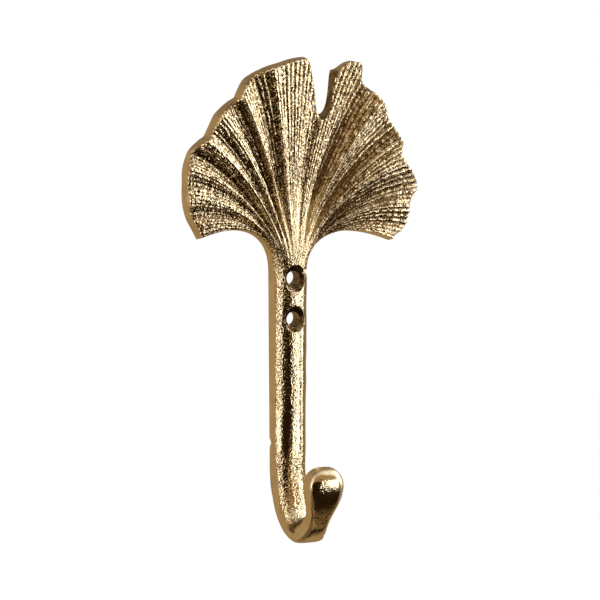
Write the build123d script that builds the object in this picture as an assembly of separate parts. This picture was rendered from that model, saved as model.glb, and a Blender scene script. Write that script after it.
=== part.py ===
from build123d import *
import math
import os

# A cast brass wall hook: a pleated fan leaf on a stem that ends in a J-shaped hook, all one casting.
# Millimetres. The flat back lies on the wall plane y = 0 and the hook stands out towards -Y.
# +Z is up, +X is to the right as seen from the front.
# The origin is on the wall plane, midway between the two screw holes.

# Screw holes, one above the other
SCREW_SPACING = 12.5
SCREW_BORE = 4.5
SINK_DIAMETER = 8.4
SINK_ANGLE = 90.0
# A casting nick that opens the upper countersink towards the right side wall
NICK_WIDTH = 1.2
NICK_RISE = 1.6
NICK_DEPTH = 1.4

# Stem: a flat back, low side walls and a crowned front
STEM_WIDTH = 11.0
STEM_THICKNESS = 7.0
STEM_WALL = 3.0
CROWN_FULLNESS = 3.0
FOOT_WIDTH = 10.2
FOOT_THICKNESS = 6.4
DRAFT = 0.6

# Leaf: pleats run from the neck to the rim along curves that fan out about the hub
NECK_HEIGHT = 8.0
HUB_HEIGHT = 30.0
FAN_SPREAD = 110.0
LEAF_REACH = 40.0
LEAF_EDGE = 4.0
LEAF_SWELL = 1.0
PLEAT_DEPTH = 1.0
NECK_RUN = 13.0
RIM_RUN = 0.45
# Shares of a vein's run from the neck over which the stem's crown fades and the pleats rise to full height
CROWN_FADE = 0.5
PLEAT_RISE = 0.6
# Veins: the fold lines of the leaf, from its left tip to its right tip. Each has its bearing from straight
# up as a share of FAN_SPREAD (right is positive), its reach from the hub as a share of LEAF_REACH, and its
# height above or below the leaf's mean face at the rim as a share of PLEAT_DEPTH.
VEINS = [
    (-1, 0.785, 0.1), (-0.945, 0.8, 0.35), (-0.882, 0.83, -0.5), (-0.809, 0.848, 0.55),
    (-0.727, 0.86, -0.3), (-0.664, 0.88, 0.5), (-0.6, 0.885, -1.0), (-0.518, 0.845, 0.8),
    (-0.491, 0.828, 0.3), (-0.464, 0.835, -0.1), (-0.427, 0.85, 0.5), (-0.382, 0.872, 1.0),
    (-0.291, 0.88, -1.0), (-0.268, 0.878, -0.2), (-0.232, 0.918, 0.5), (-0.191, 0.972, 0.9),
    (-0.109, 1.005, -0.9), (-0.036, 1.03, 0.7), (0.018, 1.06, 0.25), (0.064, 1.08, 0.1),
    (0.109, 1.088, -0.4), (0.145, 1.09, -0.8), (0.195, 1.065, 0.3), (0.227, 1.145, 0.8),
    (0.25, 1.18, 0.7), (0.277, 1.195, 0.2), (0.3, 1.135, -0.4), (0.323, 1.08, -0.6),
    (0.418, 1.075, 0.7), (0.482, 1.036, 0.0), (0.518, 1.042, -0.5), (0.595, 1.05, 0.3),
    (0.632, 1.005, 0.5), (0.673, 1.015, 0.6), (0.727, 1.07, -0.1), (0.768, 1.1, -0.5),
    (0.845, 1.012, 0.4), (0.927, 1.012, -0.3), (0.955, 0.975, 0.0), (1, 0.92, 0.2),
]

# Notch between the two halves of the leaf, open at the rim: sizes on the front face
NOTCH_OFFSET = 11.05
NOTCH_FLOOR = 55.6
NOTCH_WIDTH = 4.4
NOTCH_WAIST = 6.8
NOTCH_MOUTH = 10.6
NOTCH_LENGTH = 17.0

# J hook: its centre line leaves the stem, turns under and rises to a thick rounded tip
BEND_TOP = 51.0
BEND_FLOOR = 70.6
BEND_REACH = 14.8
BEND_WIDTH = 9.0
BEND_THICKNESS = 6.0
ARM_WIDTH = 6.8
ARM_THICKNESS = 5.4
TIP_DROP = 54.4
TIP_REACH = 26.5
TIP_WIDTH = 11.6
TIP_THICKNESS = 8.2
TIP_LENGTH = 5.5
TIP_LEAN = 12.0
TIP_FULLNESS = 0.8
# The round arm keeps a low side wall; roundness is 0 on the flat-backed stem and 1 on the tip
ROUND_WALL = 0.5
BEND_ROUNDNESS = 0.6
ARM_ROUNDNESS = 0.9
# Pulls of the two curves of the centre line: a share of the bend's size, then lengths at the floor and the tip
ROUND_PULL = 0.63
FLOOR_RUN = 4.2
TIP_RUN = 9.0

# Fineness of the surfaces
SECTION_STEPS = 5
FAN_STEPS = 10
CURVE_STEPS = 14
ARM_STEP = 7
TIP_ANGLES = (20, 40, 60, 75, 85)
# Widest gap between the folded front of the stem and the smooth hook where they meet at the foot
CHORD_GAP = 0.02
DOWN = (0, -1)


def ease(t):
    """Smooth step from 0 to 1."""
    t = min(1.0, max(0.0, t))
    return t * t * (3 - 2 * t)


def cubic(points, t):
    """Point on a cubic Bezier curve in a plane."""
    shares = ((1 - t) ** 3, 3 * t * (1 - t) ** 2, 3 * t * t * (1 - t), t ** 3)
    return tuple(sum(w * p[axis] for w, p in zip(shares, points)) for axis in (0, 1))


def cubic_heading(points, t):
    """Unit direction of a cubic Bezier curve in a plane."""
    shares = ((1 - t) ** 2, 2 * t * (1 - t), t * t)
    steps = [(b[0] - a[0], b[1] - a[1]) for a, b in zip(points, points[1:])]
    along = [sum(w * s[axis] for w, s in zip(shares, steps)) for axis in (0, 1)]
    length = math.hypot(*along)
    return along[0] / length, along[1] / length


def fan_point(vein, along, outset):
    """Place (x, z) on a vein, from 0 at the neck to 1 at the rim, on an outline grown by the outset."""
    across, reach_share, _ = vein
    reach = LEAF_REACH * reach_share + outset
    turn = across * (math.radians(FAN_SPREAD) + outset / LEAF_REACH)
    rim = (reach * math.sin(turn), HUB_HEIGHT + reach * math.cos(turn))
    neck = (across * (STEM_WIDTH / 2 + outset), NECK_HEIGHT)
    above_neck = (neck[0], NECK_HEIGHT + NECK_RUN)
    before_rim = (rim[0] * (1 - RIM_RUN), rim[1] * (1 - RIM_RUN) + HUB_HEIGHT * RIM_RUN)
    return cubic((neck, above_neck, before_rim, rim), along)


def crown(across):
    """Share of the crown's rise at a place across the stem, from -1 to 1."""
    return 1 - abs(across) ** CROWN_FULLNESS


def fan_depth(vein, along):
    """Thickness of the leaf on a vein: the stem's crown at the neck, the vein's own height towards the rim."""
    across, _, height_share = vein
    stem = STEM_WALL + (STEM_THICKNESS - STEM_WALL) * crown(across)
    pleat = PLEAT_DEPTH * height_share * ease(along / PLEAT_RISE)
    leaf = LEAF_EDGE + LEAF_SWELL * (1 - along) * crown(across) + pleat
    share = ease(along / CROWN_FADE)
    return stem * (1 - share) + leaf * share


def make_plate():
    """The leaf and its stem: folded front, drafted rim and sides, flat back. It ends at the stem's foot."""
    steps = [i / FAN_STEPS for i in range(FAN_STEPS + 1)]
    fan_lines = []
    stem_lines = []
    for vein in VEINS:
        places = [(*fan_point(vein, t, 0), fan_depth(vein, t)) for t in steps]
        fan = [Vector(x, -depth, z) for x, z, depth in places]
        foot_depth = STEM_WALL + (FOOT_THICKNESS - STEM_WALL) * crown(vein[0])
        foot = Vector(vein[0] * FOOT_WIDTH / 2, -foot_depth, -BEND_TOP)
        fan_lines.append(Edge.make_spline(fan))
        stem_lines.append(Edge.make_line(foot, fan[0]))
    rim_front = [line.position_at(1) for line in fan_lines]
    rim_back = [Vector(x, 0, z) for x, z in (fan_point(vein, 1, DRAFT) for vein in VEINS)]
    rim_edges = [Edge.make_line(a, b) for a, b in zip(rim_back, rim_back[1:])]
    faces = [Face.make_surface_from_curves(a, b) for a, b in zip(fan_lines, fan_lines[1:])]
    faces += [Face.make_surface_from_curves(a, b) for a, b in zip(stem_lines, stem_lines[1:])]
    for a, b, edge in zip(rim_front, rim_front[1:], rim_edges):
        faces.append(Face.make_surface_from_curves(Edge.make_line(a, b), edge))
    side_edges = []
    foot_back = []
    for i in (0, -1):
        fan = [Vector(x, 0, z) for x, z in (fan_point(VEINS[i], t, DRAFT) for t in steps)]
        foot = Vector(VEINS[i][0] * (FOOT_WIDTH / 2 + DRAFT), 0, -BEND_TOP)
        pair = [Edge.make_spline(fan), Edge.make_line(foot, fan[0])]
        faces.append(Face.make_surface_from_curves(fan_lines[i], pair[0]))
        faces.append(Face.make_surface_from_curves(stem_lines[i], pair[1]))
        side_edges += pair
        foot_back.append(foot)
    foot_corners = [foot_back[0], *(line.position_at(0) for line in stem_lines), foot_back[1]]
    foot_edges = [Edge.make_line(a, b) for a, b in zip(foot_corners, foot_corners[1:] + foot_corners[:1])]
    faces.append(Face(Wire([*rim_edges, *side_edges, foot_edges[-1]])))
    faces.append(Face(Wire(foot_edges)))
    return Solid(Shell(faces))


def dome(across, roundness):
    """Rise of a section's front at a place across it: the stem's crown, or a half ellipse on the round arm."""
    ellipse = math.sqrt(max(0.0, 1 - across * across))
    return (1 - roundness) * crown(across) + roundness * ellipse


def hook_section(station):
    """Outline across the centre line: crowned inner side, side walls, flat or round outer side."""
    (reach, drop), heading, width, thickness, roundness = station
    belly = roundness * (thickness - ROUND_WALL) / 2
    wall = STEM_WALL * (1 - roundness) + ROUND_WALL * roundness
    low = belly - thickness / 2
    high = low + wall
    half = width / 2
    half_low = half + DRAFT * (1 - roundness)
    places = [math.sin(math.pi * (i / SECTION_STEPS - 0.5)) for i in range(SECTION_STEPS + 1)]

    def place(x, inward):
        return Vector(x, -(reach - heading[1] * inward), drop + heading[0] * inward)

    inner = [place(half * a, high + (thickness / 2 - high) * dome(a, roundness)) for a in places]
    outer = [place(half_low * a, low - belly * dome(a, 1)) for a in places]
    return Wire([
        Edge.make_spline(inner),
        Edge.make_line(inner[-1], outer[-1]),
        Edge.make_spline(outer[::-1]) if belly else Edge.make_line(outer[-1], outer[0]),
        Edge.make_line(outer[0], inner[0]),
    ])


def run_stations(curve, start, finish, first, last):
    """Sections on a curve of the centre line after one step up to another; sizes ease from start to finish."""
    stations = []
    for step in range(first + 1, last + 1):
        share = ease((step - first) / (last - first))
        sizes = [a + (b - a) * share for a, b in zip(start, finish)]
        t = step / CURVE_STEPS
        stations.append((cubic(curve, t), cubic_heading(curve, t), *sizes))
    return stations


def hook_stations():
    """Centre, heading, width, thickness and roundness of the sections from the stem's foot to the tip's end."""
    foot = (FOOT_WIDTH, FOOT_THICKNESS, 0.0)
    bend = (BEND_WIDTH, BEND_THICKNESS, BEND_ROUNDNESS)
    arm = (ARM_WIDTH, ARM_THICKNESS, ARM_ROUNDNESS)
    tip = (TIP_WIDTH, TIP_THICKNESS, 1.0)
    lean = math.radians(TIP_LEAN)
    up = (math.sin(lean), math.cos(lean))
    top = (FOOT_THICKNESS / 2, -BEND_TOP)
    floor = (BEND_REACH, -BEND_FLOOR)
    end = (TIP_REACH, -TIP_DROP)
    before_floor = (floor[0] + ROUND_PULL * (top[0] - floor[0]), floor[1])
    below_top = (top[0], top[1] + ROUND_PULL * (floor[1] - top[1]))
    after_floor = (floor[0] + FLOOR_RUN, floor[1])
    below_end = (end[0] - TIP_RUN * up[0], end[1] - TIP_RUN * up[1])
    under = (top, below_top, before_floor, floor)
    rising = (floor, after_floor, below_end, end)
    stations = [(top, DOWN, *foot)]
    stations += run_stations(under, foot, bend, 0, CURVE_STEPS)
    stations += run_stations(rising, bend, arm, 0, ARM_STEP)
    stations += run_stations(rising, arm, tip, ARM_STEP, CURVE_STEPS)
    for angle in TIP_ANGLES:
        rise = TIP_LENGTH * math.sin(math.radians(angle))
        shrink = math.cos(math.radians(angle)) ** TIP_FULLNESS
        center = (end[0] + rise * up[0], end[1] + rise * up[1])
        stations.append((center, up, TIP_WIDTH * shrink, TIP_THICKNESS * shrink, 1.0))
    return stations


def make_hook():
    """The J hook from the foot of the stem to its rounded tip."""
    return Solid.make_loft([hook_section(station) for station in hook_stations()])


def notch_outline(y):
    """Outline of the notch's cutter at a depth: round floor, walls that flare to the mouth and pass the rim."""
    inset = DRAFT * (1 + y / LEAF_EDGE)
    low = NOTCH_FLOOR + inset
    heights = (low + NOTCH_WIDTH / 2 - inset, low + NOTCH_LENGTH / 2, low + NOTCH_LENGTH)
    halves = [width / 2 - inset for width in (NOTCH_WIDTH, NOTCH_WAIST, NOTCH_MOUTH)]
    left = [Vector(NOTCH_OFFSET - half, y, height) for half, height in zip(halves, heights)]
    right = [Vector(NOTCH_OFFSET + half, y, height) for half, height in zip(halves, heights)]
    above = HUB_HEIGHT + 2 * LEAF_REACH
    left_top = Vector(left[-1].X, y, above)
    right_top = Vector(right[-1].X, y, above)
    return Wire([
        Edge.make_three_point_arc(left[0], Vector(NOTCH_OFFSET, y, low), right[0]),
        Edge.make_three_point_arc(*right),
        Edge.make_line(right[-1], right_top),
        Edge.make_line(right_top, left_top),
        Edge.make_line(left_top, left[-1]),
        Edge.make_three_point_arc(*left[::-1]),
    ])


def make_notch():
    """Cutter for the notch, which follows the draft of the walls."""
    return Solid.make_loft([notch_outline(LEAF_EDGE), notch_outline(-2 * LEAF_EDGE)], ruled=True)


def make_screw_hole(height):
    """Cutter for one countersunk screw hole through the stem."""
    sink_depth = (SINK_DIAMETER - SCREW_BORE) / 2 / math.tan(math.radians(SINK_ANGLE / 2))
    bore = Cylinder(SCREW_BORE / 2, 4 * STEM_THICKNESS)
    sink = Cone(SCREW_BORE / 2, SINK_DIAMETER / 2, sink_depth, align=(Align.CENTER, Align.CENTER, Align.MAX))
    mouth = Cylinder(SINK_DIAMETER / 2, STEM_THICKNESS, align=(Align.CENTER, Align.CENTER, Align.MIN))
    cutter = bore + Pos(0, 0, STEM_THICKNESS) * sink + Pos(0, 0, STEM_THICKNESS) * mouth
    return Pos(0, 0, height) * Rot(90, 0, 0) * cutter


def make_nick():
    """Cutter for the nick in the right rim of the upper countersink: a groove with a V-shaped floor."""
    groove = Box(STEM_WIDTH, NICK_WIDTH, NICK_WIDTH, align=(Align.MIN, Align.CENTER, Align.CENTER))
    return Pos(0, NICK_DEPTH - STEM_THICKNESS, SCREW_SPACING / 2 + NICK_RISE) * Rot(45, 0, 0) * groove


def make_wall_hook():
    """The whole casting: leaf, stem and hook in one solid, with the notch, the screw holes and the nick cut."""
    casting = make_plate().fuse(make_hook(), tol=CHORD_GAP)
    holes = [make_screw_hole(height) for height in (SCREW_SPACING / 2, -SCREW_SPACING / 2)]
    return casting.cut(make_notch(), *holes, make_nick())


os.makedirs("parts", exist_ok=True)
wall_hook = make_wall_hook()
export_step(wall_hook, "parts/wall_hook.step")
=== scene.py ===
import math
import random

import bpy
import numpy as np
from mathutils import Matrix, Vector, noise


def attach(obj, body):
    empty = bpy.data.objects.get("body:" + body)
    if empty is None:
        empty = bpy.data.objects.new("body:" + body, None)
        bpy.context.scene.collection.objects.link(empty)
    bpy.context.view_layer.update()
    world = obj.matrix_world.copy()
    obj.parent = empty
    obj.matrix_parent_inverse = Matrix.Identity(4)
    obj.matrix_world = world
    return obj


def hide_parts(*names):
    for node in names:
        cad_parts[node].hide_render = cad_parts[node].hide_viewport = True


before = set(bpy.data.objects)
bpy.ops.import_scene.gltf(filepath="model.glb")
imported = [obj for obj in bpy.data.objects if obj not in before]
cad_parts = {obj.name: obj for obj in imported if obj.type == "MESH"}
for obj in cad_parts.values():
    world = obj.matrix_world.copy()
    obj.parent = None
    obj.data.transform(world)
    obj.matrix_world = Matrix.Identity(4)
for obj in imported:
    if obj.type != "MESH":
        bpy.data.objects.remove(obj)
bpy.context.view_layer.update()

# A cast brass wall hook: a fan leaf with fine ribs on a stem with two screw holes, ending in a J hook.
# Shapes are worked out in millimetres in the frame of the CAD part and turned to metres at the end.
MM = 0.001

# Sizes of the casting in millimetres and degrees. They are those of the CAD part, apart from the nick, the
# notch, the middle veins, the pleats' depth and the arm's fullness, which follow the photograph more closely.

# The screw holes, and the nick beside the upper one, on a line (x, y) from the hole to the side wall
SCREW_SPACING, SCREW_BORE = 12.5, 4.5
SINK_DIAMETER, SINK_ANGLE = 8.4, 90.0
NICK_WIDTH, NICK_DEPTH, NICK_RISE = 2.0, 1.4, 1.6
NICK_LINE = ((1.8, -7.0), (5.2, -1.2))
# The stem from its neck to its foot: low side walls with draft and a crowned front
STEM_WIDTH, STEM_THICKNESS = 11.0, 7.0
FOOT_WIDTH, FOOT_THICKNESS = 10.2, 6.4
STEM_WALL, CROWN_FULLNESS, DRAFT = 3.0, 3.0, 0.6
# The leaf: pleats run from the neck to the rim along curves that fan out about the hub
NECK_HEIGHT, HUB_HEIGHT = 8.0, 30.0
FAN_SPREAD, LEAF_REACH = 110.0, 40.0
LEAF_EDGE, LEAF_SWELL, PLEAT_DEPTH = 4.0, 1.0, 1.0
NECK_RUN, RIM_RUN = 13.0, 0.45
CROWN_FADE, PLEAT_RISE = 0.5, 0.6
# The J hook: the bend, the arm and the tip
BEND_TOP, BEND_FLOOR, BEND_REACH = 51.0, 70.6, 14.8
BEND_WIDTH, BEND_THICKNESS, BEND_ROUNDNESS = 9.0, 6.0, 0.6
ARM_WIDTH, ARM_THICKNESS, ARM_ROUNDNESS = 6.8, 5.4, 0.9
TIP_DROP, TIP_REACH, TIP_LENGTH = 54.4, 26.5, 5.5
TIP_WIDTH, TIP_THICKNESS = 11.6, 8.2
TIP_LEAN, TIP_FULLNESS = 12.0, 0.8
ROUND_WALL, ARM_FULLNESS = 0.5, 3.6
ROUND_PULL, FLOOR_RUN, TIP_RUN = 0.63, 4.2, 9.0
# Veins of the leaf from its left tip to its right tip: bearing, reach and height at the rim, as shares
VEINS = np.array([
    (-1, 0.785, 0.1), (-0.945, 0.8, 0.35), (-0.882, 0.83, -0.5), (-0.809, 0.848, 0.55),
    (-0.727, 0.86, -0.3), (-0.664, 0.88, 0.5), (-0.6, 0.885, -1.0), (-0.518, 0.845, 0.8),
    (-0.491, 0.828, 0.3), (-0.464, 0.835, -0.1), (-0.427, 0.85, 0.5), (-0.382, 0.872, 1.0),
    (-0.291, 0.88, -1.0), (-0.268, 0.878, -0.2), (-0.245, 0.905, 0.9), (-0.191, 0.972, -0.3),
    (-0.165, 0.985, -0.9), (-0.109, 1.005, -0.1), (-0.073, 1.018, 0.7), (-0.036, 1.03, 0.15),
    (0.018, 1.06, 0.1), (0.064, 1.08, 0.0), (0.109, 1.088, -0.4), (0.145, 1.0, -0.5),
    (0.195, 1.055, -0.1), (0.227, 1.145, -0.15), (0.25, 1.18, -0.2), (0.277, 1.195, -0.45),
    (0.3, 1.135, -0.8), (0.323, 1.08, -0.9), (0.418, 1.075, 0.7), (0.482, 1.036, 0.0),
    (0.518, 1.042, -0.5), (0.595, 1.05, 0.3), (0.632, 1.005, 0.5), (0.673, 1.015, 0.6),
    (0.727, 1.07, -0.1), (0.768, 1.1, -0.5), (0.845, 1.012, 0.4), (0.927, 1.012, -0.3),
    (0.955, 0.975, 0.0), (1, 0.92, 0.2),
])
# The pleats are deeper on the right half of the leaf: shares of PLEAT_DEPTH, and where across they change
LEFT_PLEATS, RIGHT_PLEATS = 1.25, 1.8
DEEPER_FROM, DEEPER_RUN = 0.1, 0.2

# The notch from its left mouth round its floor to its right mouth, at the front and at the back: x and z
NOTCH_FRONT = [
    (4.4, 75.0), (5.2, 73.2), (6.2, 71.2), (7.0, 67.7), (7.7, 64.2), (8.1, 60.5),
    (8.5, 57.0), (9.3, 55.0), (10.6, 54.3), (12.0, 55.5), (13.0, 57.6), (13.6, 60.4),
    (13.9, 63.4), (14.3, 65.9), (15.2, 68.0), (16.4, 69.9), (17.0, 73.0),
]
NOTCH_BACK = [
    (5.2, 75.0), (6.0, 73.2), (6.9, 71.2), (7.6, 67.7), (8.3, 64.2), (8.7, 60.8),
    (9.2, 58.2), (9.9, 56.7), (10.9, 56.1), (11.8, 56.5), (12.6, 57.6), (13.3, 59.6),
    (13.8, 62.4), (14.1, 65.0), (14.3, 67.4), (14.7, 69.4), (15.6, 72.0),
]

# Fine ribs between the veins. They wander, differ in strength and are beaded.
# The leaf's face lies at RIB_MEAN, a share of their height
RIBS, RIB_HEIGHT, RIB_PITCH, RIB_MEAN = 96, 0.34, 1.6, 0.6
RIB_WANDER, WANDERS_ACROSS, WANDERS_ALONG = 0.4, 9, 2.5
RIB_WEAKEST, RIB_STRONGEST = 0.45, 1.2
BEAD_SIZE, BEAD_SHARE = 1.0, 1.1
# About how long a rib is, to space its beads
RIB_LENGTH = 1.3 * LEAF_REACH
# Shares of the way from the neck to the rim over which the ribs, the rounded side edges, the lower face and
# the ribs' tone come in
RIB_START, EDGE_START, FACE_START, TONE_START = 0.15, 0.4, 0.5, 0.4
# Rounded edge of the leaf's front, and how far the ribs jag the rim and how far in from it
EDGE_ROUND, RIM_JAG, JAG_RUN = 0.5, 0.35, 1.5
# Skin that the sand mould left: fine grain and long waves, which come in over a distance from the flat back
GRAIN_SIZE, GRAIN_HEIGHT = 0.8, 0.07
WAVE_SIZE, WAVE_HEIGHT, BACK_RUN = 7.0, 0.16, 0.8
# Small dents: place (x, y, z), depth and radius. One in the stem's left edge, one under the hook's right side
DENTS = [((-5.8, 0.0, -44.6), 0.5, 1.0), ((3.6, -19.0, -72.0), 0.4, 1.2)]

# How the leaf is coloured, as shares: tone of ribs and veins, whose brown grooves are patina and painted
# shade for their depth, more painted shade in the right half's grooves, a browner and smoother right half, a
# brighter and smoother throat. Grain comes in over a distance from the edges
RIB_TONE, RIGHT_GROOVE_SHADE, VEIN_TONE = 1.3, 1.1, 0.65
RIGHT_BROWNER, RIGHT_SMOOTHER = 0.4, 0.4
THROAT_BRIGHTER, THROAT_SMOOTHER = 1.1, 0.4
EDGE_PLAIN = 0.8
# How the stem's front is polished, as shares: on its left, how much more on its right, and near the bend.
# On the stem and in the hook, grain comes in over a share of the half width
LEFT_POLISH, MORE_ON_RIGHT, BEND_POLISH = 0.3, 0.45, 0.7
SIDE_PLAIN = 0.08
# The hook's inner side: grain in the bend and how much of it is gone on the arm, and the painted shade, in
# brown, on its floor
BEND_GRAIN, GRAIN_GONE, BEND_FLOOR_SHADE = 0.9, 0.75, -1.8
# The hook's outer side: grain of the bright strip, and rough patches at the tip's upper left and on the arm,
# each with its place along in bends, length in rings, place and width across, and grain
STRIP_GRAIN = 0.15
ROUGH_PATCHES = [(2.0, 5, -0.35, 0.4, 0.6), (1.66, 4, -0.1, 0.6, 0.9)]

# Mesh fineness
STEM_COLUMNS, FAN_COLUMNS_EACH = 64, 8
FAN_ROWS, STEM_ROWS, BEND_ROWS, DOME_ROWS = 120, 110, 44, 14
WALL_STEPS, OUTER_COLUMNS = 4, 40
HOLE_SIDES, CURVE_STEPS = 72, 5
SHARP_ANGLE = 38
# First row of the stem below the neck in millimetres, first row of a wall as a share of its depth, end of the
# tip's dome as a share of a quarter turn, and a small step along a curve to find its heading
NECK_GAP, WALL_START, DOME_END, SMALL_STEP = 0.6, 0.1, 0.985, 1e-4
# Rows of the leaf from the rim, 1, to the neck, 0, closer together along the rounded rim
FAN_ALONG = 1 - np.concatenate([[0, 0.002, 0.005, 0.009, 0.014], np.linspace(0.021, 1, FAN_ROWS)])
# Columns of the hook's outer side from left, -1, to right, 1, closer together at its edges
OUTER_ACROSS = np.sin(np.pi * (np.linspace(0, 1, OUTER_COLUMNS + 1) - 0.5))


def ease(t):
    """Smooth step from 0 to 1."""
    t = np.clip(t, 0.0, 1.0)
    return t * t * (3 - 2 * t)


def cubic(points, t):
    """Points on a cubic Bezier curve: each of the four is a tuple of arrays or numbers."""
    shares = ((1 - t) ** 3, 3 * t * (1 - t) ** 2, 3 * t * t * (1 - t), t ** 3)
    return [sum(w * p[axis] for w, p in zip(shares, points)) for axis in (0, 1)]


def between_veins(column, across):
    """A value of the veins anywhere across the leaf, on smooth curves that never pass a vein's own value."""
    places, values = VEINS[:, 0], VEINS[:, column]
    steps = np.diff(places)
    slopes = np.diff(values) / steps
    both = slopes[:-1] * slopes[1:]
    tangents = np.zeros(len(values))
    tangents[1:-1] = np.where(both > 0, 2 * both / np.where(both > 0, slopes[:-1] + slopes[1:], 1.0), 0.0)
    i = np.clip(np.searchsorted(places, across, side="right") - 1, 0, len(steps) - 1)
    t = (across - places[i]) / steps[i]
    rise = values[i] + (values[i + 1] - values[i]) * ease(t)
    lead = t * (1 - t) ** 2 * tangents[i] - t * t * (1 - t) * tangents[i + 1]
    return rise + steps[i] * lead


def fan_place(across, along, outset):
    """Place (x, z) on the leaf, from 0 at the neck to 1 at the rim, on an outline grown by the outset."""
    reach = LEAF_REACH * between_veins(1, across) + outset
    turn = across * (math.radians(FAN_SPREAD) + outset / LEAF_REACH)
    rim = (reach * np.sin(turn), HUB_HEIGHT + reach * np.cos(turn))
    neck = (across * (STEM_WIDTH / 2 + outset), NECK_HEIGHT)
    above_neck = (neck[0], NECK_HEIGHT + NECK_RUN)
    before_rim = (rim[0] * (1 - RIM_RUN), rim[1] * (1 - RIM_RUN) + HUB_HEIGHT * RIM_RUN)
    return cubic((neck, above_neck, before_rim, rim), along)


def crown(across):
    """Share of the crown's rise at a place across the stem."""
    return 1 - np.abs(across) ** CROWN_FULLNESS


def fan_depth(across, along):
    """Thickness of the leaf: the stem's crown at the neck, the veins' heights towards the rim."""
    stem = STEM_WALL + (STEM_THICKNESS - STEM_WALL) * crown(across)
    deeper = ease((across - DEEPER_FROM) / DEEPER_RUN)
    depth = PLEAT_DEPTH * (LEFT_PLEATS + (RIGHT_PLEATS - LEFT_PLEATS) * deeper)
    pleat = depth * between_veins(2, across) * ease(along / PLEAT_RISE)
    leaf = LEAF_EDGE + LEAF_SWELL * (1 - along) * crown(across) + pleat
    share = ease(along / CROWN_FADE)
    return stem * (1 - share) + leaf * share


def lumps(points, size, seed):
    """Smooth random heights, about -1 to 1, whose lumps are about the given size."""
    # Each seed reads the noise at a place of its own
    shift = Vector((seed * 17.3, seed * 5.1, seed * 9.7))
    heights = [noise.noise(Vector(p) / size + shift) for p in points.reshape(-1, 3)]
    return np.array(heights).reshape(points.shape[:-1])


def rib_relief(across, along, spacing):
    """Height of the fine ribs: rounded tops, sharp grooves, beaded, and lower where they crowd together."""
    spots = np.stack([across * WANDERS_ACROSS, along * WANDERS_ALONG, 0 * along], -1)
    line = RIBS * (across + 1) / 2 + RIB_WANDER * lumps(spots, 1.0, 3)
    dice = random.Random(7)
    strengths = np.array([dice.uniform(RIB_WEAKEST, RIB_STRONGEST) for _ in range(RIBS + 3)])
    strength = strengths[np.clip(np.round(line).astype(int) + 1, 0, RIBS + 2)]
    beads = np.stack([line, along * RIB_LENGTH / BEAD_SIZE, 0 * along], -1)
    bead = 1 + BEAD_SHARE * lumps(beads, 1.0, 5)
    room = np.minimum(1.0, spacing / RIB_PITCH)
    return RIB_HEIGHT * strength * bead * room * np.abs(np.cos(np.pi * line))


def rounding(distance):
    """Drop of the front near a rounded edge."""
    inside = np.clip(1 - distance / EDGE_ROUND, 0.0, 1.0)
    return EDGE_ROUND * (1 - np.sqrt(1 - inside ** 2))


def right_half(across, along):
    """Share of the leaf's right half, which is browner, with more painted shade in its grooves and less
    grain.
    """
    return ease((across - 0.15) / 0.25) * ease(along / 0.6)


def throat(across, along):
    """Share of the leaf's throat, where the veins run together above the neck and the metal is brighter."""
    return np.exp(-((along - 0.3) / 0.16) ** 2) * ease((0.75 - np.abs(across)) / 0.3)


def leaf_tone(across, along, ribs):
    """How high a place on the leaf counts for its colour: grooves low and brown, as patina and painted shade
    for their depth; ribs and veins bright.
    """
    right = right_half(across, along)
    # Painted shade: grooves between ribs and sunk veins are drawn browner for their depth, more so on the
    # right half; the rest of their brown is patina
    rib_tone = (ribs / RIB_HEIGHT - RIB_MEAN) * ease(along / TONE_START) * (RIB_TONE + RIGHT_GROOVE_SHADE * right)
    vein_tone = VEIN_TONE * between_veins(2, across) * ease(along / PLEAT_RISE)
    return rib_tone + vein_tone - RIGHT_BROWNER * right + THROAT_BRIGHTER * throat(across, along)


def leaf_grain(across, along, from_edge):
    """Share of sand grain on the leaf: none along its edges, less on its right half and in its throat."""
    smoother = RIGHT_SMOOTHER * right_half(across, along) + THROAT_SMOOTHER * throat(across, along)
    return ease(from_edge / EDGE_PLAIN) * (1 - smoother)


class Casting:
    """Points of the mesh with what the skin needs to know of each, and its faces."""

    def __init__(self):
        self.points, self.cast, self.relief, self.faces = [], [], [], []
        self.count = 0

    def add(self, points, cast, relief=0.0):
        """Adds points, an array of any shape with x, y, z last, and returns their numbers in that shape."""
        points = np.asarray(points, float)
        shape = points.shape[:-1]
        self.points.append(points.reshape(-1, 3))
        self.cast.append(np.broadcast_to(cast, shape).reshape(-1))
        self.relief.append(np.broadcast_to(relief, shape).reshape(-1))
        numbers = np.arange(self.count, self.count + self.points[-1].shape[0]).reshape(shape)
        self.count += numbers.size
        return numbers

    def sheet(self, numbers):
        """Four-sided faces over a grid of point numbers, rows by columns."""
        quads = np.stack([numbers[:-1, :-1], numbers[1:, :-1], numbers[1:, 1:], numbers[:-1, 1:]], -1)
        self.faces.extend(quads.reshape(-1, 4).tolist())


def wall_points(front, back):
    """Points of a side wall from near its front edge to its back edge."""
    shares = np.linspace(WALL_START, 1, WALL_STEPS)
    return front[..., None, :] * (1 - shares[:, None]) + back[..., None, :] * shares[:, None]


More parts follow.
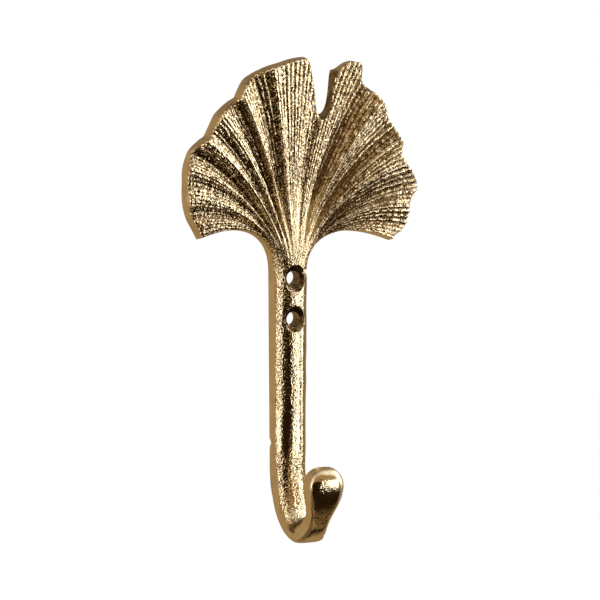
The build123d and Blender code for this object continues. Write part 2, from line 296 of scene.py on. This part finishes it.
def fan_front(casting):
    """The leaf's ribbed front. Returns its point numbers, rim first, and the rim's places before the jag."""
    across, along = np.meshgrid(np.linspace(-1, 1, STEM_COLUMNS * FAN_COLUMNS_EACH + 1), FAN_ALONG)
    x, z = fan_place(across, along, 0.0)
    step = np.hypot(np.diff(x, axis=1), np.diff(z, axis=1))
    from_left = np.concatenate([np.zeros_like(x[:, :1]), np.cumsum(step, axis=1)], axis=1)
    from_side = np.minimum(from_left, from_left[:, -1:] - from_left)
    climb = np.hypot(np.diff(x, axis=0), np.diff(z, axis=0))
    from_rim = np.concatenate([np.zeros_like(x[:1]), np.cumsum(climb, axis=0)])
    spacing = step.sum(axis=1, keepdims=True) / RIBS
    ribs = rib_relief(across, along, spacing) * ease(along / RIB_START)
    edge = np.maximum(rounding(from_rim), rounding(from_side) * ease(along / EDGE_START))
    lower = RIB_MEAN * RIB_HEIGHT * ease(along / FACE_START)
    depth = fan_depth(across, along) + ribs - lower - edge
    rim = np.stack([x[0], -depth[0], z[0]], -1)
    jag = RIM_JAG * (ribs / RIB_HEIGHT - RIB_MEAN) * ease(1 - from_rim / JAG_RUN)
    jag = jag / np.hypot(x, z - HUB_HEIGHT)
    front = np.stack([x * (1 + jag), -depth, z + (z - HUB_HEIGHT) * jag], -1)
    from_edge = np.minimum(from_rim, from_side + 2 * (1 - along))
    return casting.add(front, leaf_grain(across, along, from_edge), leaf_tone(across, along, ribs)), rim


def dome(across, roundness):
    """Rise of a section's side: the stem's crown, or on the arm a half round that is fuller than a circle."""
    full = np.clip(1 - np.abs(across) ** ARM_FULLNESS, 0, 1) ** (1 / ARM_FULLNESS)
    return (1 - roundness) * crown(across) + roundness * full


def section(station, columns):
    """Inner and outer side of the stem or hook across its centre line."""
    (reach, drop), heading, width, thickness, roundness = station
    belly = roundness * (thickness - ROUND_WALL) / 2
    low = belly - thickness / 2
    high = low + STEM_WALL * (1 - roundness) + ROUND_WALL * roundness
    inner_rise = high + (thickness / 2 - high) * dome(columns, roundness)
    outer_rise = low - belly * dome(OUTER_ACROSS, 1.0)
    outer_half = width / 2 + DRAFT * (1 - roundness)
    sides = ((width / 2 * columns, inner_rise), (outer_half * OUTER_ACROSS, outer_rise))
    return [np.stack([x, heading[1] * rise - reach, drop + heading[0] * rise], -1) for x, rise in sides]


def stem_station(height):
    """Section of the straight stem, which narrows from the neck to the foot."""
    share = (NECK_HEIGHT - height) / (NECK_HEIGHT + BEND_TOP)
    width = STEM_WIDTH + (FOOT_WIDTH - STEM_WIDTH) * share
    thickness = STEM_THICKNESS + (FOOT_THICKNESS - STEM_THICKNESS) * share
    return (thickness / 2, height), (0.0, -1.0), width, thickness, 0.0


def hook_stations():
    """Sections of the J hook after the stem's foot, to the end of the tip."""
    sizes = np.array([
        (FOOT_WIDTH, FOOT_THICKNESS, 0.0), (BEND_WIDTH, BEND_THICKNESS, BEND_ROUNDNESS),
        (ARM_WIDTH, ARM_THICKNESS, ARM_ROUNDNESS), (TIP_WIDTH, TIP_THICKNESS, 1.0),
    ])
    lean = math.radians(TIP_LEAN)
    up = np.array([math.sin(lean), math.cos(lean)])
    top = np.array([FOOT_THICKNESS / 2, -BEND_TOP])
    floor = np.array([BEND_REACH, -BEND_FLOOR])
    end = np.array([TIP_REACH, -TIP_DROP])
    pull = ROUND_PULL * (floor - top)
    under = (top, top + (0, pull[1]), floor - (pull[0], 0), floor)
    rising = (floor, floor + (FLOOR_RUN, 0), end - TIP_RUN * up, end)
    stations = []
    for curve, knots in ((under, sizes[:2]), (rising, sizes[1:])):
        for t in np.linspace(0, 1, BEND_ROWS + 1)[1:]:
            place, before = (np.array(cubic(curve, at)) for at in (t, t - SMALL_STEP))
            heading = (place - before) / np.linalg.norm(place - before)
            run = min(int(t * (len(knots) - 1)), len(knots) - 2)
            share = ease(t * (len(knots) - 1) - run)
            stations.append((place, heading, *(knots[run] * (1 - share) + knots[run + 1] * share)))
    for angle in np.linspace(0, math.pi / 2 * DOME_END, DOME_ROWS + 1)[1:]:
        shrink = math.cos(angle) ** TIP_FULLNESS
        place = end + TIP_LENGTH * math.sin(angle) * up
        stations.append((place, up, TIP_WIDTH * shrink, TIP_THICKNESS * shrink, 1.0))
    return stations


def below(heights, top, run):
    """Share of each row that grows from 0 at a height to 1 at the end of a run below it, in millimetres."""
    return ease((top - heights) / run)[:, None]


def stem_wear(across, heights):
    """Share of polish on the stem's front, rows by columns. It grows downwards and ends at the foot."""
    upper = (LEFT_POLISH + MORE_ON_RIGHT * ease((across + 0.1) / 0.4)) * below(heights, 16, 24)
    lower = BEND_POLISH * below(heights, -25, 14)
    return np.maximum(upper, lower) * (1 - below(heights, -45, 6))


def bump_at(place, middle, width):
    """A smooth bump from 0 to 1 about a middle place."""
    return np.exp(-((place - middle) / width) ** 2)


def hook_grain(ring, inner_across):
    """Share of grain round a ring of the hook: inner side left to right, right wall, outer side, left wall.
    The outer side is satin, with a bright strip along its middle from bend to tip, and rough patches."""
    rough = BEND_GRAIN - GRAIN_GONE * ease((ring - BEND_ROWS) / (0.5 * BEND_ROWS))
    inner = rough * ease((1 - np.abs(inner_across)) / SIDE_PLAIN)
    across = OUTER_ACROSS[::-1]
    strip = ease((0.75 - np.abs(across)) / 0.25)
    strip = strip * ease((ring - 1.1 * BEND_ROWS) / 8) * ease((2 * BEND_ROWS + 9 - ring) / 6)
    outer = STRIP_GRAIN * strip
    for along, length, middle, width, grain in ROUGH_PATCHES:
        outer = outer + grain * bump_at(ring, along * BEND_ROWS, length) * bump_at(across, middle, width)
    wall = np.zeros(WALL_STEPS - 1)
    return np.concatenate([inner, wall, outer, wall])


def make_casting():
    """The whole casting as one closed skin, before the notch and the holes are cut."""
    casting = Casting()
    fan, smooth_rim = fan_front(casting)
    across = np.linspace(-1, 1, STEM_COLUMNS + 1)
    round_across = np.sin(np.pi * across / 2)
    heights = np.linspace(NECK_HEIGHT - NECK_GAP, -BEND_TOP, STEM_ROWS)
    stem_rows, foot_outer = [], None
    for height, share in zip(heights, ease(np.linspace(0, 1, STEM_ROWS))):
        inner, foot_outer = section(stem_station(height), across * (1 - share) + round_across * share)
        stem_rows.append(inner)
    stem_grain = ease((1 - np.abs(across)) / SIDE_PLAIN) * (1 - stem_wear(across, heights))
    stem = casting.add(np.array(stem_rows), stem_grain)

    # The neck: each stem column widens to its share of the leaf's columns
    for k in range(STEM_COLUMNS):
        upper = fan[-1, k * FAN_COLUMNS_EACH:(k + 1) * FAN_COLUMNS_EACH + 1]
        casting.faces.append([int(stem[0, k]), int(stem[0, k + 1]), *(int(n) for n in upper[::-1])])
    casting.sheet(fan)
    casting.sheet(stem)

    # Side walls down to the flat back, and the wall of the rim between them
    points = np.concatenate(casting.points)
    half_widths = stem_station(heights)[2] / 2 + DRAFT
    walls = []
    for side, column in ((-1.0, 0), (1.0, -1)):
        front = np.concatenate([fan[:, column], stem[:, column]])
        x, z = fan_place(np.full_like(FAN_ALONG, side), FAN_ALONG, DRAFT)
        back_x, back_z = np.concatenate([x, side * half_widths]), np.concatenate([z, heights])
        back = np.stack([back_x, 0 * back_x, back_z], -1)
        numbers = casting.add(wall_points(points[front], back), 0.0)
        walls.append(np.concatenate([front[:, None], numbers], axis=1))
    left, right = walls
    casting.sheet(left[:, ::-1])
    casting.sheet(right)
    rim_across = np.linspace(-1, 1, fan.shape[1])
    x, z = fan_place(rim_across, np.ones_like(rim_across), DRAFT)
    rim_back = np.stack([x, 0 * x, z], -1)
    inner_columns = slice(1, -1)
    rim = casting.add(wall_points(smooth_rim, rim_back)[inner_columns], 0.0)
    rim = np.concatenate([left[:1, 1:], rim, right[:1, 1:]])
    casting.sheet(np.concatenate([fan[0][:, None], rim], axis=1).T[::-1])

    # The J hook: rings of inner side, right wall, outer side and left wall, with painted shade in brown at
    # the bend's inner floor
    foot = casting.add(foot_outer[1:-1], 0.0)
    rings = [np.concatenate([stem[-1], right[-1, 1:], foot[::-1], left[-1, :0:-1]])]
    for i, station in enumerate(hook_stations()):
        inner, outer = section(station, round_across)
        right_wall = wall_points(inner[-1], outer[-1])[:-1]
        left_wall = wall_points(inner[0], outer[0])[:-1]
        ring = np.concatenate([inner, right_wall, outer[::-1], left_wall[::-1]])
        trough = np.concatenate([np.ones(len(inner)), np.zeros(len(ring) - len(inner))])
        # Painted shade: the inner floor of the bend is drawn brown where the stem's trough meets it
        floor_shade = BEND_FLOOR_SHADE * trough * bump_at(i, 0.92 * BEND_ROWS, 5)
        rings.append(casting.add(ring, hook_grain(i, round_across), floor_shade))
    rings = np.array(rings)
    casting.sheet(np.concatenate([rings, rings[:, :1]], axis=1))
    casting.faces.append(rings[-1][::-1].tolist())

    # The flat back in one piece
    outline = [*rim[:, -1], *right[1:, -1], *foot[::-1], *left[:0:-1, -1]]
    casting.faces.append([int(n) for n in outline])
    return casting


def roughen(mesh, cast):
    """The skin of the sand mould: long waves, grain where the casting was left as cast, and small dents."""
    points = np.empty(len(mesh.vertices) * 3)
    normals = np.empty(len(mesh.vertices) * 3)
    mesh.vertices.foreach_get("co", points)
    mesh.vertices.foreach_get("normal", normals)
    points, normals = points.reshape(-1, 3), normals.reshape(-1, 3)
    off_back = ease(-points[:, 1] / BACK_RUN)
    lift = WAVE_HEIGHT * lumps(points, WAVE_SIZE, 1) + GRAIN_HEIGHT * cast * lumps(points, GRAIN_SIZE, 2)
    lift = lift * off_back
    for place, depth, radius in DENTS:
        away = np.linalg.norm(points - np.array(place), axis=1) / radius
        lift = lift - depth * np.exp(-away ** 2)
    mesh.vertices.foreach_set("co", (points + normals * lift[:, None]).ravel())


def closed_mesh(name, points, faces, *materials):
    """A mesh object from points in millimetres and faces, of the given materials."""
    mesh = bpy.data.meshes.new(name)
    mesh.from_pydata([tuple(p) for p in points], [], faces)
    mesh.update()
    for material in materials:
        mesh.materials.append(material)
    made = bpy.data.objects.new(name, mesh)
    bpy.context.scene.collection.objects.link(made)
    return made


def between_outlines(name, first, second, material):
    """A closed solid between two outlines with the same number of points."""
    count = len(first)
    sides = [[(i + 1) % count, i, count + i, count + (i + 1) % count] for i in range(count)]
    faces = [*sides, list(range(count)), list(range(count, 2 * count))[::-1]]
    return closed_mesh(name, [*first, *second], faces, material)


def smooth_through(points):
    """Points on a smooth curve through the given ones."""
    places = np.array(points)
    leads = np.gradient(places, axis=0) / 3
    steps = np.linspace(0, 1, CURVE_STEPS, endpoint=False)
    curve = []
    for a, b, after_a, before_b in zip(places[:-1], places[1:], leads[:-1], leads[1:]):
        curve += [cubic((a, a + after_a, b - before_b, b), t) for t in steps]
    return [*curve, places[-1]]


def notch_outline(y):
    """The notch at a depth: its walls lean between the front's and the back's outlines, and pass the rim."""
    share = -y / LEAF_EDGE
    outline = smooth_through(np.array(NOTCH_BACK) * (1 - share) + np.array(NOTCH_FRONT) * share)
    above = HUB_HEIGHT + 2 * LEAF_REACH
    return [(x, y, z) for x, z in [*outline, (outline[-1][0], above), (outline[0][0], above)]]


def notch(material):
    """The notch from before the leaf's front to behind its back, as the shape to cut away."""
    front, back = (notch_outline(share * LEAF_EDGE) for share in (-1.6, 0.3))
    return between_outlines("notch", front, back, material)


def screw_hole(name, height, material):
    """A countersunk hole through the stem, as the shape to cut away."""
    sink = (SINK_DIAMETER - SCREW_BORE) / 2 / math.tan(math.radians(SINK_ANGLE / 2))
    profile = [
        (SCREW_BORE / 2, STEM_THICKNESS), (SCREW_BORE / 2, sink - STEM_THICKNESS),
        (SINK_DIAMETER / 2, -STEM_THICKNESS), (SINK_DIAMETER / 2, -2 * STEM_THICKNESS),
    ]
    turns = np.linspace(0, 2 * math.pi, HOLE_SIDES, endpoint=False)
    rings = [[(r * math.cos(t), y, height + r * math.sin(t)) for t in turns] for r, y in profile]
    points = [p for ring in rings for p in ring]
    faces = [list(range(HOLE_SIDES))[::-1], list(range(len(points) - HOLE_SIDES, len(points)))]
    for start in range(0, len(points) - HOLE_SIDES, HOLE_SIDES):
        for i in range(HOLE_SIDES):
            j = (i + 1) % HOLE_SIDES
            faces.append([start + i, start + j, start + HOLE_SIDES + j, start + HOLE_SIDES + i])
    return closed_mesh(name, points, faces, material)


def nick(material):
    """The V-shaped nick from the upper hole's right rim down the right shoulder, as the shape to cut away."""
    z, half = SCREW_SPACING / 2 + NICK_RISE, NICK_WIDTH / 2
    corners = ((0, 0), (NICK_DEPTH, -half), (2 * NICK_DEPTH, 0), (NICK_DEPTH, half))
    ends = [[(x + right, y, z + up) for right, up in corners] for x, y in NICK_LINE]
    return between_outlines("nick", *ends, material)


def cut(piece, tools):
    """Cuts the tools out of the piece in turn and removes them. The cut walls keep the tool's material."""
    for tool in tools:
        step = piece.modifiers.new(tool.name, "BOOLEAN")
        step.operation, step.solver, step.object = "DIFFERENCE", "EXACT", tool
        step.material_mode = "TRANSFER"
    view = bpy.context.evaluated_depsgraph_get()
    done = bpy.data.meshes.new_from_object(piece.evaluated_get(view))
    piece.modifiers.clear()
    piece.data = done
    for tool in tools:
        bpy.data.objects.remove(tool)


def linear(code):
    """Linear colour of an sRGB hex value."""
    parts = [int(code[i:i + 2], 16) / 255 for i in (1, 3, 5)]
    return [*(c / 12.92 if c <= 0.04045 else ((c + 0.055) / 1.055) ** 2.4 for c in parts), 1.0]


def node(tree, kind, inputs, **settings):
    """Adds a shader node. Inputs maps a socket's name or number to a value, or to a socket to link."""
    made = tree.nodes.new(kind)
    for name, value in settings.items():
        setattr(made, name, value)
    for name, value in inputs.items():
        if isinstance(value, bpy.types.NodeSocket):
            tree.links.new(value, made.inputs[name])
        else:
            made.inputs[name].default_value = value
    return made


def new_tree(owner):
    """The node tree of a new material or world, emptied."""
    owner.use_nodes = True
    owner.node_tree.nodes.clear()
    return owner.node_tree


def noise_at(tree, place, size, detail):
    """A noise pattern whose lumps are the given size in millimetres."""
    inputs = {"Vector": place, "Scale": 1 / (size * MM), "Detail": detail, "Roughness": 0.6}
    return node(tree, "ShaderNodeTexNoise", inputs).outputs["Fac"]


def scaled(tree, value, by, plus=0.0):
    """A value times another, plus a third. Each is a number or a socket."""
    return node(tree, "ShaderNodeMath", {0: value, 1: by, 2: plus}, operation="MULTIPLY_ADD").outputs[0]


def ranged(tree, value, low, high, at_low, at_high):
    """A value between low and high, turned to one between two others and held there."""
    ends = {0: value, 1: low, 2: high, 3: at_low, 4: at_high}
    return node(tree, "ShaderNodeMapRange", ends).outputs[0]


def brass(material, brown, rough, height):
    """Ends a brass material: bright metal that turns brown, its gloss, and its skin's height in mm."""
    tree = material.node_tree
    # The brown is patina and tarnish, and in the grooves, holes, notch and bend's inner floor also painted
    # shade, so it is a dark brown
    bright_shade, brown_shade = linear("#E8D4AE"), linear("#5A3F1A")
    colour = node(tree, "ShaderNodeMix", {0: brown, 6: bright_shade, 7: brown_shade}, data_type="RGBA")
    skin = node(tree, "ShaderNodeBump", {"Strength": 1.0, "Distance": MM, "Height": height})
    metal = node(tree, "ShaderNodeBsdfPrincipled", {
        "Base Color": colour.outputs[2], "Metallic": 1.0, "Roughness": rough, "Normal": skin.outputs[0],
    })
    node(tree, "ShaderNodeOutputMaterial", {"Surface": metal.outputs[0]})
    return material


def sand_cast_brass():
    """Sand-cast brass, tumbled bright on the high places and brown in the grooves, as patina and painted
    shade.
    The sand gives the front a coarse grain that sparkles; the filed side walls are satin and plain."""
    material = bpy.data.materials.new("sand_cast_brass")
    tree = new_tree(material)
    place = node(tree, "ShaderNodeTexCoord", {}).outputs["Object"]
    cast = node(tree, "ShaderNodeAttribute", {}, attribute_name="cast").outputs["Fac"]
    relief = node(tree, "ShaderNodeAttribute", {}, attribute_name="relief").outputs["Fac"]
    # Moulding sand is about 0.3 mm; its grain is drawn 0.68 mm wide so that it shows
    patterns = ((0.68, 1), (6, 3), (0.25, 1))
    grain, cloud, polish = (noise_at(tree, place, size, detail) for size, detail in patterns)
    # Brown patina stays in the grooves and in the pits of the grain, with cloudy patches; in the grooves and
    # the bend's inner floor the relief adds painted shade in brown
    pits = scaled(tree, scaled(tree, grain, -2.4, 1.2), cast)
    low = scaled(tree, relief, -0.35, pits)
    low = scaled(tree, cloud, 0.4, low)
    brown = ranged(tree, low, 0.15, 0.65, 0.0, 0.9)
    # Places with grain are tumbled bright; those without are satin
    satin = ranged(tree, cast, 0.0, 0.12, 0.32, 0.08)
    rough = scaled(tree, cloud, 0.12, satin)
    coarse = scaled(tree, grain, scaled(tree, cast, 0.34))
    height = scaled(tree, polish, 0.012, coarse)
    return brass(material, brown, rough, height)


def rough_brass_with_painted_shade():
    """Brass in the holes and the notch, where no wheel or tumbling reached: rough and pitted, and brown as
    painted shade inside them.
    """
    material = bpy.data.materials.new("rough_brass_painted_shade")
    tree = new_tree(material)
    place = node(tree, "ShaderNodeTexCoord", {}).outputs["Object"]
    # The sand's grain is drawn 0.7 mm wide here, for the same reason as on the front
    grain, cloud = (noise_at(tree, place, size, detail) for size, detail in ((0.7, 1), (2.5, 2)))
    # Painted shade: the walls inside the holes and the notch are drawn mostly brown
    brown = ranged(tree, cloud, 0.35, 0.65, 0.6, 1.0)
    rough = ranged(tree, cloud, 0.3, 0.7, 0.2, 0.35)
    height = scaled(tree, grain, 0.35)
    return brass(material, brown, rough, height)


def ground_brass():
    """Brass of the back, ground flat on a belt: straight fine scratches along the stem and a dull tarnish."""
    material = bpy.data.materials.new("belt_ground_brass")
    tree = new_tree(material)
    place = node(tree, "ShaderNodeTexCoord", {}).outputs["Object"]
    # Belt scratches are finer than this; they are drawn 0.6 mm apart so that they show
    stroke = node(tree, "ShaderNodeMapping", {"Vector": place, "Scale": (1, 1, 0.03)})
    marks, cloud = noise_at(tree, stroke.outputs[0], 0.6, 3), noise_at(tree, place, 9, 3)
    dull = scaled(tree, marks, 1.0, cloud)
    brown = ranged(tree, dull, 0.7, 1.3, 0.0, 0.5)
    rough = ranged(tree, marks, 0.3, 0.7, 0.24, 0.42)
    height = scaled(tree, marks, 0.05)
    return brass(material, brown, rough, height)


def glow(name, shade):
    """A studio card as the metal shows it: one even shade."""
    material = bpy.data.materials.new(name)
    tree = new_tree(material)
    light = node(tree, "ShaderNodeEmission", {"Color": linear(shade), "Strength": 1.0})
    node(tree, "ShaderNodeOutputMaterial", {"Surface": light.outputs[0]})
    return material


def white_floor():
    """Matt white painted board."""
    material = bpy.data.materials.new("white_board")
    tree = new_tree(material)
    paint = node(tree, "ShaderNodeBsdfDiffuse", {"Color": linear("#FFFFFF")})
    node(tree, "ShaderNodeOutputMaterial", {"Surface": paint.outputs[0]})
    return material


def direction(azimuth, elevation):
    """Unit vector from the hook: azimuth 0 is straight out from the wall, to the right is positive."""
    a, e = math.radians(azimuth), math.radians(elevation)
    return Vector((math.sin(a) * math.cos(e), -math.cos(a) * math.cos(e), math.sin(e)))


def face_back(made, target, azimuth, elevation, away):
    """Places an object at a distance from the target, so that its local Z points away from it."""
    back = direction(azimuth, elevation)
    made.location = target + back * away
    made.rotation_mode = "QUATERNION"
    made.rotation_quaternion = back.to_track_quat("Z", "Y")
    bpy.context.scene.collection.objects.link(made)


def studio_card(name, azimuth, elevation, width, height, shade, away=0.9):
    """A card of the studio that only shows in the metal: a dark flag or a sheet of paper."""
    mesh = bpy.data.meshes.new(name)
    w, h = width / 2, height / 2
    mesh.from_pydata([(-w, -h, 0), (w, -h, 0), (w, h, 0), (-w, h, 0)], [], [(0, 1, 2, 3)])
    mesh.materials.append(glow(name, shade))
    card = bpy.data.objects.new(name, mesh)
    card.visible_camera = card.visible_diffuse = card.visible_shadow = False
    face_back(card, Vector(), azimuth, elevation, away)


def softbox(name, azimuth, elevation, width, height, level, away=0.8):
    """A soft lamp whose face has the given brightness, where 1 is white."""
    lamp = bpy.data.lights.new(name, "AREA")
    lamp.shape, lamp.size, lamp.size_y = "RECTANGLE", width, height
    lamp.energy = level * math.pi * width * height
    made = bpy.data.objects.new(name, lamp)
    made.visible_camera = False
    face_back(made, Vector(), azimuth, elevation, away)


def white_world():
    """White all round, which is the backdrop and plain light."""
    world = bpy.data.worlds.new("white_studio")
    bpy.context.scene.world = world
    world.cycles.sampling_method = "NONE"
    tree = new_tree(world)
    light = node(tree, "ShaderNodeBackground", {"Color": linear("#FFFFFF"), "Strength": 1.0})
    node(tree, "ShaderNodeOutputWorld", {"Surface": light.outputs[0]})


# The casting
casting = make_casting()
points, cast, relief = (np.concatenate(values) for values in (casting.points, casting.cast, casting.relief))
hook = closed_mesh("wall_hook_casting", points, casting.faces, sand_cast_brass(), ground_brass())
hook.data.polygons[-1].material_index = 1
roughen(hook.data, cast)
for label, values in (("cast", cast), ("relief", relief)):
    hook.data.attributes.new(label, "FLOAT", "POINT").data.foreach_set("value", values.astype(np.float32))
shaded_brass = rough_brass_with_painted_shade()
hole_heights = (SCREW_SPACING / 2, -SCREW_SPACING / 2)
holes = [screw_hole(f"hole_{i}", height, shaded_brass) for i, height in enumerate(hole_heights)]
cut(hook, [notch(shaded_brass), *holes, nick(hook.data.materials[0])])
hook.data.transform(Matrix.Scale(MM, 4))
hook.data.polygons.foreach_set("use_smooth", np.ones(len(hook.data.polygons), bool))
hook.data.set_sharp_from_angle(angle=math.radians(SHARP_ANGLE))
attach(hook, "root")
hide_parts("wall_hook")

# The studio. Each lamp and card has its azimuth and elevation in degrees, its width and height in metres,
# its brightness or shade, and its distance where that isn't the usual one
FLOOR_SIZE, FLOOR_HEIGHT = 8, -0.6
bpy.ops.mesh.primitive_plane_add(size=FLOOR_SIZE, location=(0, 0, FLOOR_HEIGHT))
floor = bpy.context.object
floor.name = "floor"
floor.data.materials.append(white_floor())
white_world()
softbox("left_softbox", -89, 10, 0.3, 0.9, 1.8)
softbox("right_softbox", 60, 16, 0.32, 0.9, 2.6)
softbox("low_softbox", 32, -15, 0.17, 0.23, 3.0, 0.45)
softbox("top_softbox", 88, 38, 0.35, 0.35, 4.0)
softbox("side_softbox", 71, 5, 0.2, 0.9, 2.0)
DARK_ROOM, GREY_PAPER, PALE_PAPER, LIGHT_PAPER = "#27190A", "#8C775A", "#A08A68", "#AE956D"
studio_card("front_flag", -25, -15, 3.3, 1.1, DARK_ROOM, 0.95)
studio_card("light_card_front", -25, 38, 3.3, 1.0, LIGHT_PAPER, 1.0)
studio_card("low_flag", 5, -41, 2.6, 0.58, DARK_ROOM, 0.42)
studio_card("light_card_left", -143, 0, 1.75, 1.6, LIGHT_PAPER)
studio_card("grey_card_right", 133, 0, 2.3, 1.6, GREY_PAPER)
studio_card("grey_card_top", 180, 60, 1.4, 0.9, GREY_PAPER)
studio_card("light_card_low", 180, -45, 2.0, 0.7, LIGHT_PAPER, 0.46)
studio_card("pale_card_low", -90, -45, 0.9, 0.75, PALE_PAPER, 0.75)
studio_card("light_card_under", 0, -90, 1.2, 0.34, LIGHT_PAPER, 0.52)
studio_card("under_flag", 0, -90, 1.2, 0.13, DARK_ROOM, 0.5)

# The camera, at the photograph's angle and with as many pixels to a millimetre
PICTURE_PIXELS, PIXELS_PER_MM = 600, 3.25
VIEW_AZIMUTH, VIEW_ELEVATION, CAMERA_AWAY = -25, 5, 0.77
TARGET = Vector((4.62, 0.0, -0.99)) * MM
camera = bpy.data.objects.new("camera", bpy.data.cameras.new("camera"))
face_back(camera, TARGET, VIEW_AZIMUTH, VIEW_ELEVATION, CAMERA_AWAY)
camera.data.sensor_width = 36
camera.data.lens = camera.data.sensor_width * CAMERA_AWAY / (PICTURE_PIXELS / PIXELS_PER_MM * MM)
bpy.context.scene.camera = camera
bpy.context.scene.view_settings.view_transform = "Standard"
